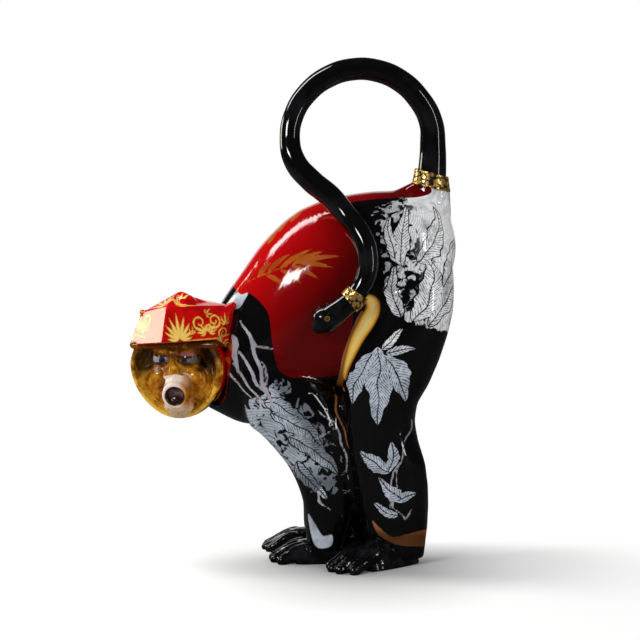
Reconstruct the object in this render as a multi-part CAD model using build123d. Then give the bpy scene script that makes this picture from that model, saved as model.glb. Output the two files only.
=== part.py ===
from build123d import *
import math
import os

# A glazed porcelain monkey that stands on all fours with its back arched, its head turned to its
# left and its long tail thrown up in a loop that comes down against its left flank.
# It is slip cast in plaster moulds as separate hollow and solid castings. Each casting is trimmed
# to the one that carries it, luted there with slip and fired with it, so every seam is face to face.
# The figure looks along -X, its left side is -Y, and it stands on z = 0.

# Shared by all castings
quarter_arc_share = 0.5523
quarter_turn_deg = 90
air_hole_radius = 2.5
air_hole_station_share = 0.2
cut_overrun = 60.0

# Torso: one hollow casting from the neck to the rump
torso_length = 170.0
torso_depth = 128.0
torso_width = 88.0
chest_height = 131.0
rump_rise = 88.0
torso_wall = 4.5
torso_band_count = 26
vent_radius = 3.0
vent_station_share = 0.47
torso_section_shares = (
    # along, rise, depth, width
    (0.0, 0.0, 0.40, 0.46),
    (0.098, 0.09, 0.67, 0.69),
    (0.204, 0.19, 0.86, 0.84),
    (0.343, 0.41, 0.92, 0.94),
    (0.498, 0.575, 1.0, 1.0),
    (0.653, 0.725, 0.91, 0.97),
    (0.80, 0.86, 0.74, 0.88),
    (0.90, 0.93, 0.57, 0.70),
    (0.96, 0.96, 0.40, 0.47),
    (0.99, 0.965, 0.22, 0.25),
    (1.0, 0.965, 0.09, 0.10),
)
torso_lean_degs = (10, 10, 12, 18, 15, 8, 5, 0, 0, 0, 0)

limb_band_count = 16

# Arms: a pair of hollow castings, shoulder to wrist
shoulder_station_share = 0.22
shoulder_rise_share = 0.25
arm_girth = 61.0
arm_width = 39.0
arm_spread = 24.0
arm_wall = 4.0
right_arm_advance = 1.5
arm_section_shares = (
    # height, set back, girth, width, spread
    (1.0, 0.0, 0.67, 0.615, 0.667),
    (0.889, 0.045, 0.81, 0.87, 0.917),
    (0.765, 0.30, 1.0, 0.97, 1.0),
    (0.651, 0.40, 1.10, 1.0, 1.0),
    (0.552, 0.53, 0.92, 0.97, 0.96),
    (0.448, 0.65, 0.74, 0.90, 0.875),
    (0.348, 0.72, 0.63, 0.80, 0.83),
    (0.244, 0.75, 0.54, 0.69, 0.79),
    (0.167, 0.735, 0.50, 0.64, 0.75),
    (0.095, 0.71, 0.43, 0.615, 0.75),
    (0.033, 0.696, 0.38, 0.60, 0.75),
)

# Hind legs: a pair of hollow castings, hip to ankle
hip_station_share = 0.829
hip_rise_share = 0.955
leg_girth = 61.6
leg_width = 50.0
leg_spread = 30.0
leg_wall = 4.5
right_leg_advance = 9.0
stance = 48.75
leg_section_shares = (
    # height, set back, girth, width, spread
    (1.0, 0.034, 0.76, 0.56, 0.60),
    (0.924, 0.0, 0.854, 0.96, 0.80),
    (0.818, -0.045, 0.944, 1.0, 0.90),
    (0.705, -0.169, 1.0, 0.96, 0.967),
    (0.592, -0.298, 0.955, 0.90, 1.0),
    (0.502, -0.388, 0.80, 0.82, 1.0),
    (0.415, -0.365, 0.79, 0.78, 0.983),
    (0.312, -0.275, 0.82, 0.76, 0.967),
    (0.205, -0.225, 0.78, 0.72, 0.933),
    (0.119, -0.20, 0.71, 0.66, 0.90),
    (0.06, -0.20, 0.66, 0.62, 0.90),
    (0.019, -0.20, 0.64, 0.60, 0.90),
)

# Hands: solid castings with four fingers and a thumb
hand_length = 50.0
hand_width = 27.0
hand_height = 14.5
hand_heel_set_back = 13.0
hand_turn_deg = 4.0
finger_girth_share = 0.215
finger_taper_share = 0.8
thumb_angle_deg = 26.0
right_hand_reach = 6.0
palm_band_count = 8
palm_section_shares = (
    # along, half width, height
    (0.0, 0.30, 0.50),
    (0.05, 0.38, 0.74),
    (0.18, 0.45, 0.96),
    (0.38, 0.49, 1.0),
    (0.54, 0.50, 0.88),
    (0.64, 0.46, 0.62),
)
finger_spread_shares = (-0.36, -0.125, 0.115, 0.35)
finger_reach_shares = (0.90, 0.99, 1.0, 0.93)
finger_splay_share = 1.2
finger_pad_share = 0.8
thumb_root_shares = (0.30, 0.42)
thumb_reach_share = 0.36
thumb_girth_share = 1.15

# Feet: solid castings, longer and turned out, with four toes and a big toe
foot_length = 66.0
foot_width = 28.0
foot_height = 19.0
foot_heel_set_back = 13.0
foot_turn_deg = 36.0
big_toe_angle_deg = 34.0

# Tail: a solid casting thrown up in a loop, its end hooked down the left flank
tail_station_share = 0.895
tail_loop_station_share = 0.617
tail_loop_height_share = 0.80
tail_hook_set_back_share = 0.645
tail_hook_drop_share = 1.61
tail_loop_radius = 49.0
tail_hook_radius = 36.0
tail_start_radius = 8.3
tail_end_radius = 6.7
tail_root_flare = 6.0
tail_root_rise_share = 0.93
tail_root_depth_share = 0.57
tail_root_sink_share = 2.0
tail_flare_share = 0.05
tail_section_count = 52
tail_loop_step_count = 9
tail_hook_step_count = 5
tail_loop_start_deg = -8.0
tail_loop_end_deg = 199.0
tail_hook_start_deg = 57.0
tail_hook_end_deg = -50.0
tail_side_shares = (0.0, 0.0, 0.01, 0.03, 0.07, 0.12, 0.18, 0.25, 0.33, 0.41, 0.49,
                    0.70, 0.93, 1.07, 1.12, 1.14)

# Sprigged collars on the tail, and the bud that ends it
root_collar_start_share = 0.058
collar_band_count = 3
root_collar_width = 14.0
root_collar_thickness = 1.5
end_collar_width = 9.0
end_collar_thickness = 1.5
bud_length = 30.0
bud_radius = 7.6
bud_outline_shares = ((0.45, 1.0), (0.86, 0.62))
bud_eye_radius = 1.6

# Head: a hollow casting, a round ruff with the face set in its mouth
head_station_share = -0.103
head_rise_share = 0.035
head_side_set = 12.0
head_yaw_deg = 14.0
head_pitch_deg = 5.0
ruff_radius = 33.6
ruff_mouth_radius = 32.1
ruff_lip = 2.4
ruff_front = 18.0
skull_back = 36.0
head_wall = 4.0
dish_depth = 13.0
ruff_outline_shares = (
    # radius; ahead (-) in shares of the front, or behind in shares of the skull's back
    (1.0, -0.45), (0.985, 0.10), (0.86, 0.48), (0.55, 0.83),
)
dish_outline_shares = ((0.86, 0.55), (0.55, 0.90))
cavity_floor_share = 0.62
cavity_outline_shares = ((0.93, 0.042), (0.80, 0.48), (0.50, 0.76))

# Face: a pressed mask luted to the floor of the ruff, with a turned muzzle and two set-in eyes
mask_half_width = 23.5
mask_brow_reach = 17.0
mask_chin_reach = 29.0
mask_front = 23.0
mask_section_shares = (
    # ahead from the dish's floor, size
    (0.25, 0.97), (0.725, 0.80), (0.939, 0.55), (1.0, 0.36),
)
eye_spacing = 17.0
eye_level = 9.0
eye_radius = 4.8
eye_socket_radius = 6.2
eye_forward = 17.0
eye_socket_forward = 24.0
brow_radius = 3.4
brow_level = 15.0
brow_forward = 21.0
brow_taper_share = 0.8
brow_middle_share = 0.9
brow_reach_share = 1.05
brow_sweep_share = 0.72
nose_bridge_radius = 4.2
nose_root_share = 0.8
nose_root_rise_share = 0.70
nose_end_drop_share = 0.35
nose_proud_share = 0.2
chin_radius = 7.0
chin_level = 23.5
chin_forward = 17.0
chin_taper_share = 0.9
muzzle_base_radius = 12.0
muzzle_end_radius = 9.2
muzzle_waist_shares = (1.08, 0.5)
muzzle_front = 36.0
muzzle_level = 10.5
muzzle_side_set = 2.0
muzzle_turn_deg = 6.5
muzzle_droop_deg = 5.0
mouth_radius = 6.4
mouth_depth = 13.0
mouth_floor_radius = 3.2
lip_radius = 1.4

# Cap: a solid casting with flat facets, a prow, a crest, a horn on its right and a peak on its left
cap_half_width = 35.0
cap_front = 40.0
cap_back = 37.0
cap_edge_level = 12.5
cap_height = 41.0
cap_side_set = 1.0
cap_corner_shares = {
    # across, ahead (-) or back, rise
    "prow": (-0.05, -1.0, 0.29),
    "right_temple": (-0.97, -0.38, 0.11),
    "left_temple": (0.87, -0.50, 0.27),
    "right_ear": (-1.0, 0.05, -0.02),
    "left_ear": (1.02, 0.05, -0.02),
    "right_rear": (-0.70, 0.72, -0.02),
    "left_rear": (0.70, 0.72, -0.02),
    "back": (0.0, 1.0, -0.02),
    "ridge": (-0.08, -0.60, 0.83),
    "right_horn": (-0.76, -0.20, 0.64),
    "left_dip": (0.53, 0.03, 0.80),
    "left_peak": (1.06, -0.02, 0.76),
    "crown": (0.0, -0.12, 1.0),
    "nape": (0.0, 0.62, 0.78),
    "right_rim": (-0.62, 0.55, 0.56),
    "left_rim": (0.64, 0.55, 0.62),
    "under": (0.0, 0.0, 0.10),
}
cap_facets = (
    "prow right_temple right_horn", "prow right_horn ridge",
    "prow ridge left_peak", "prow left_peak left_temple",
    "ridge right_horn crown", "ridge crown left_dip", "ridge left_dip left_peak",
    "right_temple right_ear right_horn", "left_temple left_peak left_ear",
    "right_ear right_rear right_rim", "left_ear left_rim left_rear",
    "right_ear right_rim right_horn", "left_ear left_peak left_rim",
    "right_horn right_rim nape", "left_peak nape left_rim",
    "right_horn nape crown", "left_dip crown nape", "left_peak left_dip nape",
    "right_rear back right_rim", "left_rear left_rim back",
    "back nape right_rim", "back left_rim nape",
    "under right_temple prow", "under prow left_temple",
    "under right_ear right_temple", "under left_temple left_ear",
    "under right_rear right_ear", "under left_ear left_rear",
    "under back right_rear", "under left_rear back",
)


def oval(plane, half_width, up, down=None):
    """A closed section of four quarter ovals on a plane, its centre at the plane's origin."""
    down = up if down is None else down
    w, u, d, k = half_width, up, down, quarter_arc_share
    outline = Curve() + [
        Bezier((w, 0), (w, k * u), (k * w, u), (0, u)),
        Bezier((0, u), (-k * w, u), (-w, k * u), (-w, 0)),
        Bezier((-w, 0), (-w, -k * d), (-k * w, -d), (0, -d)),
        Bezier((0, -d), (k * w, -d), (w, -k * d), (w, 0)),
    ]
    return plane * make_face(outline)


def capsule(start, end, start_radius, end_radius):
    """A round-ended tapered limb between two points."""
    start, end = Vector(*start), Vector(*end)
    reach = (end - start).length
    slope = math.asin((start_radius - end_radius) / reach)
    slope_deg = math.degrees(slope)
    rise = (math.sin(slope), math.cos(slope))
    first = (start_radius * rise[0], start_radius * rise[1])
    last = (reach + end_radius * rise[0], end_radius * rise[1])
    profile = Curve() + [
        CenterArc((0, 0), start_radius, 180, arc_size=-90 - slope_deg),
        Line(first, last),
        CenterArc((reach, 0), end_radius, 90 - slope_deg, arc_size=slope_deg - 90),
        Line((reach + end_radius, 0), (-start_radius, 0)),
    ]
    limb = revolve(make_face(profile), Axis.X)
    direction = (end - start).normalized()
    side = Vector(0, 0, 1) if abs(direction.Z) < 0.9 else Vector(0, 1, 0)
    return Plane(origin=start, x_dir=direction, z_dir=direction.cross(side)) * limb


def largest(shape):
    """The main solid that a cut leaves, without crumbs."""
    return shape.solids().sort_by(SortBy.VOLUME)[-1]


def smooth_row(table, along):
    """A row of a table at a share of its length, on a smooth curve through its rows."""
    last = len(table) - 1
    place = along * last
    i = min(int(place), last - 1)
    t = place - i
    before, start, end, after = (
        table[min(max(i + step, 0), last)] for step in (-1, 0, 1, 2)
    )
    return tuple(
        b + t * (c - a + t * (2 * a - 5 * b + 4 * c - d + t * (3 * (b - c) + d - a))) / 2
        if t else b
        for a, b, c, d in zip(before, start, end, after)
    )


def smooth_table(table, count):
    """The same curve read at even steps, so that straight bands between them look smooth."""
    return [smooth_row(table, i / count) for i in range(count + 1)]


# Torso
def torso_form(wall):
    sections = []
    rows = smooth_table(torso_section_shares, torso_band_count)
    leans = smooth_table([(lean,) for lean in torso_lean_degs], torso_band_count)
    for i, (along, rise, depth, width) in enumerate(rows):
        lean = math.radians(leans[i][0])
        inset = wall if i == 0 else -wall if i == torso_band_count else 0
        plane = Plane(
            origin=(along * torso_length + inset, 0, chest_height + rise * rump_rise),
            x_dir=(0, 1, 0),
            z_dir=(math.cos(lean), 0, math.sin(lean)),
        )
        half_width = width * torso_width / 2
        half_depth = depth * torso_depth / 2
        shrink = min(wall, half_width / 2, half_depth / 2)
        sections.append(oval(plane, half_width - shrink, half_depth - shrink))
    return loft(sections, ruled=True)


# Arms and hind legs share one way of lofting: level ovals, from root to ankle or wrist
def limb_form(section_shares, root, girth, width, spread, wall, step=0):
    root_x, root_height = root
    sections = []
    for height, set_back, girth_share, width_share, spread_share in smooth_table(
        section_shares, limb_band_count
    ):
        plane = Plane(
            origin=(
                root_x + set_back * girth + step * (1 - height),
                -spread * spread_share,
                height * root_height,
            ),
            x_dir=(1, 0, 0),
            z_dir=(0, 0, -1),
        )
        half_girth = girth_share * girth / 2 - wall
        half_width = width_share * width / 2 - wall
        sections.append(oval(plane, half_girth, half_width))
    return loft(sections, ruled=True)


shoulder = (shoulder_station_share * torso_length, chest_height + shoulder_rise_share * rump_rise)
hip = (hip_station_share * torso_length, chest_height + hip_rise_share * rump_rise)


def limb_end(section_shares, root, girth, spread, step=0):
    """Where a limb meets its hand or foot, on the ground."""
    end = section_shares[-1]
    return (root[0] + end[1] * girth + step * (1 - end[0]), -spread * end[4])


# Hands and feet: a flattened palm or sole with jointed fingers or toes, laid along -X
def paw_form(length, width, height, inner_angle_deg):
    sections = []
    finger = width * finger_girth_share / 2
    for along, half_width_share, height_share in smooth_table(
        palm_section_shares, palm_band_count
    ):
        rise = height_share * height
        plane = Plane(origin=(-along * length, 0, 0), x_dir=(0, 1, 0), z_dir=(-1, 0, 0))
        sections.append(oval(plane, half_width_share * width, rise))
    paw = loft(sections, ruled=True)
    knuckle_x = -length * palm_section_shares[-2][0]
    knuckle_height = height * palm_section_shares[-1][2]
    tip_radius = finger * finger_taper_share
    tip_height = tip_radius * finger_pad_share
    for spread_share, reach_share in zip(finger_spread_shares, finger_reach_shares):
        side = spread_share * width
        knuckle = (knuckle_x, side, knuckle_height)
        tip = (-length * reach_share + tip_radius, side * finger_splay_share, tip_height)
        paw += capsule(knuckle, tip, finger, tip_radius)
    inner = math.radians(inner_angle_deg)
    thumb_root = (
        -length * palm_section_shares[2][0], width * thumb_root_shares[0], height * thumb_root_shares[1]
    )
    thumb_reach = length * thumb_reach_share
    thumb_tip = (
        thumb_root[0] - thumb_reach * math.cos(inner),
        thumb_root[1] + thumb_reach * math.sin(inner),
        tip_height,
    )
    paw += capsule(thumb_root, thumb_tip, finger * thumb_girth_share, tip_radius)
    ground = Pos(0, 0, -cut_overrun / 2) * Box(4 * length, 4 * width, cut_overrun)
    return largest(paw - ground)


# Tail
def tail_path():
    root_x = tail_station_share * torso_length
    rump_top = (
        chest_height + rump_rise * tail_root_rise_share + torso_depth * tail_root_depth_share / 2
    )
    centre_x = tail_loop_station_share * torso_length
    centre_z = rump_top + tail_loop_radius * tail_loop_height_share
    points = [(root_x, rump_top - tail_start_radius * tail_root_sink_share), (root_x, rump_top)]
    for i in range(tail_loop_step_count + 1):
        step = i / tail_loop_step_count
        angle = tail_loop_start_deg + (tail_loop_end_deg - tail_loop_start_deg) * step
        points.append((
            centre_x + tail_loop_radius * math.cos(math.radians(angle)),
            centre_z + tail_loop_radius * math.sin(math.radians(angle)),
        ))
    hook_x = centre_x - tail_loop_radius * tail_hook_set_back_share
    hook_z = centre_z - tail_loop_radius * tail_hook_drop_share
    for i in range(tail_hook_step_count):
        step = i / (tail_hook_step_count - 1)
        angle = tail_hook_start_deg + (tail_hook_end_deg - tail_hook_start_deg) * step
        points.append((
            hook_x + tail_hook_radius * math.cos(math.radians(angle)),
            hook_z + tail_hook_radius * math.sin(math.radians(angle)),
        ))
    count = len(points)
    sides = smooth_table([(side,) for side in tail_side_shares], count - 1)
    return Spline([
        (x, -side * torso_width / 2, z) for (x, z), (side,) in zip(points, sides)
    ])


def tail_radius_at(along):
    taper = tail_start_radius + (tail_end_radius - tail_start_radius) * along
    return taper + tail_root_flare * math.exp(-along / tail_flare_share)


def plane_on(path, along):
    """A plane across a path, its width kept in one sense so that no section twists."""
    tangent = path % along
    return Plane(origin=path @ along, x_dir=tangent.cross(Vector(0, 1, 0)), z_dir=tangent)


def tail_form(path, first, last, count, extra):
    sections = []
    for i in range(count + 1):
        along = first + (last - first) * i / count
        radius = tail_radius_at(along) + extra
        sections.append(oval(plane_on(path, along), radius, radius))
    return loft(sections, ruled=True)


# Head, in its own frame: the face looks along -Y, and x runs to the figure's left
def ruff_form():
    outer = Spline([
        (ruff_mouth_radius, -ruff_front),
        *(
            (across * ruff_radius, behind * (skull_back if behind > 0 else ruff_front))
            for across, behind in ruff_outline_shares
        ),
        (0, skull_back),
    ], tangents=((0.35, 1), (-1, 0)))
    mouth = ruff_mouth_radius - ruff_lip
    dish_floor = -ruff_front + dish_depth
    dish = Spline([
        (mouth, -ruff_front),
        *((across * mouth, -ruff_front + deep * dish_depth) for across, deep in dish_outline_shares),
        (0, dish_floor),
    ], tangents=((-0.3, 1), (-1, 0)))
    profile = Curve() + [
        outer,
        Line((0, skull_back), (0, dish_floor)),
        dish,
        Line((mouth, -ruff_front), (ruff_mouth_radius, -ruff_front)),
    ]
    return revolve(make_face(profile), Axis.Y)


def head_cavity():
    front = -ruff_front + dish_depth + head_wall
    side = ruff_radius - head_wall
    back = skull_back - head_wall
    profile = Curve() + [
        Line((0, front), (side * cavity_floor_share, front)),
        Spline([
            (side * cavity_floor_share, front),
            *((across * side, behind * skull_back) for across, behind in cavity_outline_shares),
            (0, back),
        ], tangents=((1, 0), (-1, 0))),
        Line((0, back), (0, front)),
    ]
    return revolve(make_face(profile), Axis.Y)


def muzzle_form():
    length = muzzle_front - eye_forward + mask_front / 2
    bore_end = length - mouth_depth
    profile = Curve() + [
        Line((0, 0), (muzzle_base_radius, 0)),
        Spline([
            (muzzle_base_radius, 0),
            (muzzle_end_radius * muzzle_waist_shares[0], length * muzzle_waist_shares[1]),
            (muzzle_end_radius, length - lip_radius),
        ], tangents=((-0.1, 1), (0, 1))),
        CenterArc(
            (muzzle_end_radius - lip_radius, length - lip_radius), lip_radius, 0, arc_size=quarter_turn_deg
        ),
        Line((muzzle_end_radius - lip_radius, length), (mouth_radius, length)),
        Line((mouth_radius, length), (mouth_floor_radius, bore_end)),
        Line((mouth_floor_radius, bore_end), (0, bore_end)),
        Line((0, bore_end), (0, 0)),
    ]
    tube = revolve(make_face(profile), Axis.Y)
    turn = Rotation(0, 0, muzzle_turn_deg) * Rotation(2 * quarter_turn_deg + muzzle_droop_deg, 0, 0)
    return Pos(muzzle_side_set, -muzzle_front + length, -muzzle_level) * turn * tube


def mask_form():
    floor = -ruff_front + dish_depth
    stations = [(floor + head_wall, 1)] + [
        (floor - ahead * (mask_front + floor), size_share) for ahead, size_share in mask_section_shares
    ]
    sections = []
    for y, size_share in stations:
        plane = Plane(origin=(0, y, 0), x_dir=(1, 0, 0), z_dir=(0, -1, 0))
        sections.append(oval(
            plane,
            mask_half_width * size_share,
            mask_brow_reach * size_share,
            mask_chin_reach * size_share,
        ))
    mask = loft(sections)
    mask += capsule(
        (0, -brow_forward, brow_level * nose_root_rise_share),
        (0, -mask_front - nose_bridge_radius * nose_proud_share, -muzzle_level * nose_end_drop_share),
        nose_bridge_radius * nose_root_share,
        nose_bridge_radius,
    )
    mask += capsule(
        (0, -chin_forward, -chin_level),
        (0, -chin_forward + chin_radius, -chin_level),
        chin_radius,
        chin_radius * chin_taper_share,
    )
    for side in (-1, 1):
        eye = (side * eye_spacing / 2, -eye_socket_forward, eye_level)
        mask -= Pos(*eye) * Rotation(0, 0, -quarter_turn_deg) * Sphere(eye_socket_radius)
        mask += capsule(
            (0, -brow_forward, brow_level * brow_middle_share),
            (side * eye_spacing * brow_reach_share, -brow_forward * brow_sweep_share, brow_level),
            brow_radius,
            brow_radius * brow_taper_share,
        )
    return mask


def eye_form(side):
    ball = Rotation(0, 0, quarter_turn_deg) * Sphere(eye_radius)
    return Pos(side * eye_spacing / 2, -eye_forward, eye_level) * ball


def cap_form():
    """A closed solid of flat facets between the cap's corners."""
    corners = {
        name: (
            across * cap_half_width,
            ahead * (cap_back if ahead > 0 else cap_front),
            cap_edge_level + rise * cap_height,
        )
        for name, (across, ahead, rise) in cap_corner_shares.items()
    }
    facets = [
        make_face(Polyline(*(corners[name] for name in facet.split()), close=True)).face()
        for facet in cap_facets
    ]
    return Pos(cap_side_set, 0, 0) * Solid(Shell(facets))


def bud_form():
    """The tail's end, lying along -X: a rounded bud that narrows where its collar holds it."""
    profile = Curve() + [
        Line((0, 0), (0, tail_end_radius)),
        Spline([
            (0, tail_end_radius),
            *((-along * bud_length, across * bud_radius) for along, across in bud_outline_shares),
            (-bud_length, 0),
        ], tangents=((-1, -0.05), (0, -1))),
        Line((-bud_length, 0), (0, 0)),
    ]
    return revolve(make_face(profile), Axis.X)


def mirrored(shape):
    return mirror(shape, about=Plane.XZ)


# Every outer form, in place
torso_outer = torso_form(0)
arm_outer = limb_form(arm_section_shares, shoulder, arm_girth, arm_width, arm_spread, 0)
wrist = limb_end(arm_section_shares, shoulder, arm_girth, arm_spread)

# Each leg leans from its hip so that the ankle stands a set stance behind the wrist
leg_step = wrist[0] + stance - limb_end(leg_section_shares, hip, leg_girth, leg_spread)[0]
leg_outer = limb_form(leg_section_shares, hip, leg_girth, leg_width, leg_spread, 0, leg_step)

hand_place = Pos(wrist[0], wrist[1], 0) * Rotation(0, 0, hand_turn_deg) * Pos(hand_heel_set_back, 0, 0)
hand = hand_place * paw_form(hand_length, hand_width, hand_height, thumb_angle_deg)

ankle = limb_end(leg_section_shares, hip, leg_girth, leg_spread, leg_step)
foot_place = Pos(ankle[0], ankle[1], 0) * Rotation(0, 0, foot_turn_deg) * Pos(foot_heel_set_back, 0, 0)
foot = foot_place * paw_form(foot_length, foot_width, foot_height, big_toe_angle_deg)

head_place = Pos(
    head_station_share * torso_length,
    -head_side_set,
    chest_height + head_rise_share * rump_rise,
) * Rotation(0, 0, -head_yaw_deg) * Rotation(head_pitch_deg, 0, 0)
ruff = head_place * ruff_form()
muzzle = head_place * muzzle_form()
mask = head_place * mask_form()
eyes = [head_place * eye_form(side) for side in (1, -1)]
cap = head_place * cap_form()

path = tail_path()
tail_outer = tail_form(path, 0, 1, tail_section_count, 0)
path_length = path.length
root_collar_end_share = root_collar_start_share + root_collar_width / path_length
root_collar = tail_form(
    path, root_collar_start_share, root_collar_end_share, collar_band_count, root_collar_thickness
)
end_collar_start = 1 - end_collar_width / path_length
end_collar = tail_form(path, end_collar_start, 1, collar_band_count, end_collar_thickness)
end_direction = path % 1
bud_plane = Plane(origin=path @ 1, x_dir=-end_direction, z_dir=end_direction.cross(Vector(0, 1, 0)))
bud = bud_plane * bud_form()

# Each casting is trimmed to what carries it, then hollowed
torso = torso_outer - ruff - cap - torso_form(torso_wall)
nodes = {}

arm_inner = limb_form(arm_section_shares, shoulder, arm_girth, arm_width, arm_spread, arm_wall)
leg_inner = limb_form(leg_section_shares, hip, leg_girth, leg_width, leg_spread, leg_wall, leg_step)
for side, flip, hand_advance, arm_advance, leg_advance in (
    ("left", lambda shape: shape, 0, 0, 0),
    ("right", mirrored, right_hand_reach, right_arm_advance, right_leg_advance),
):
    place_arm = Pos(-arm_advance, 0, 0)
    place_leg = Pos(-leg_advance, 0, 0)
    side_foot = place_leg * flip(foot)
    side_hand = Pos(-hand_advance, 0, 0) * flip(hand)
    side_leg = place_leg * flip(leg_outer)
    arm = place_arm * flip(arm_outer) - torso_outer - side_leg - side_hand - ruff
    leg = side_leg - torso_outer - side_foot
    nodes[side + "_arm"] = largest(arm - place_arm * flip(arm_inner))
    nodes[side + "_hand"] = side_hand
    nodes[side + "_hind_leg"] = largest(leg - place_leg * flip(leg_inner))
    nodes[side + "_foot"] = side_foot

# Air holes under each luted seat, and the vent in the belly
for section_shares, root, girth, width, spread in (
    (arm_section_shares, shoulder, arm_girth, arm_width, arm_spread),
    (leg_section_shares, hip, leg_girth, leg_width, leg_spread),
):
    height, set_back = smooth_row(section_shares, air_hole_station_share)[:2]
    bore = Cylinder(air_hole_radius, 2 * spread + width / 2)
    torso -= Pos(root[0] + set_back * girth, 0, height * root[1]) * Rotation(quarter_turn_deg, 0, 0) * bore
vent_x = vent_station_share * torso_length
torso -= Pos(vent_x, 0, chest_height - cut_overrun / 2) * Cylinder(vent_radius, cut_overrun)
torso = largest(torso)
nodes["torso"] = torso

nodes["head_shell"] = largest(ruff - head_place * head_cavity())
nodes["muzzle"] = largest(muzzle - ruff)
nodes["face_mask"] = largest(mask - eyes[0] - eyes[1] - ruff - muzzle)
nodes["left_eye"] = largest(eyes[0] - ruff)
nodes["right_eye"] = largest(eyes[1] - ruff)
nodes["cap"] = largest(cap - ruff - mask)

nodes["tail"] = largest(tail_outer - torso_outer)
nodes["tail_root_collar"] = largest(root_collar - tail_outer - torso_outer)
nodes["tail_end_collar"] = largest(end_collar - tail_outer - torso_outer)
nodes["tail_bud"] = largest(bud - torso_outer)

# The origin is set on the ground under the middle of the whole figure
extent = Compound(children=[Compound([shape]) for shape in nodes.values()]).bounding_box()
middle_x = (extent.min.X + extent.max.X) / 2
middle_y = (extent.min.Y + extent.max.Y) / 2
os.makedirs("parts", exist_ok=True)
for name, shape in nodes.items():
    export_step(Pos(-middle_x, -middle_y, 0) * shape, f"parts/{name}.step")
print("origin at", round(middle_x, 3), round(middle_y, 3), "size", extent.size)
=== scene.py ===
import math
import bpy
import numpy as np
from mathutils import Matrix, Vector


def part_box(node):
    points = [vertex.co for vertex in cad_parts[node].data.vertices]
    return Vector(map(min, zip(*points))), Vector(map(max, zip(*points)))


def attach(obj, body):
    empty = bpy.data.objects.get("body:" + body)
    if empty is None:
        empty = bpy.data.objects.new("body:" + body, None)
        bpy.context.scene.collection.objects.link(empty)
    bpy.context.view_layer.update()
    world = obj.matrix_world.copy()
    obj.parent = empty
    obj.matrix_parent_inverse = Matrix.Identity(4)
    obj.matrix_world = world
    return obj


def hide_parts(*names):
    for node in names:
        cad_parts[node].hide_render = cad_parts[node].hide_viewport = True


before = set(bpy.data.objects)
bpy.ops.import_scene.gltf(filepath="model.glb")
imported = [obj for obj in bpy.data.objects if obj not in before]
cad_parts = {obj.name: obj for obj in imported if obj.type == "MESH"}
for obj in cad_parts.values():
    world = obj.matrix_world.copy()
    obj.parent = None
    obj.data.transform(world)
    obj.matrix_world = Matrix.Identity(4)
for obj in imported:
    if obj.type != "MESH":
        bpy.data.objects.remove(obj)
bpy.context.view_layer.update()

MM = 0.001
glaze_ior = 1.42

# Room: a plain white studio floor that runs out to white, with a soft shadow painted grey round
# the feet, a camera a little above the figure's middle, and four soft lamps over a dim even light.


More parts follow.
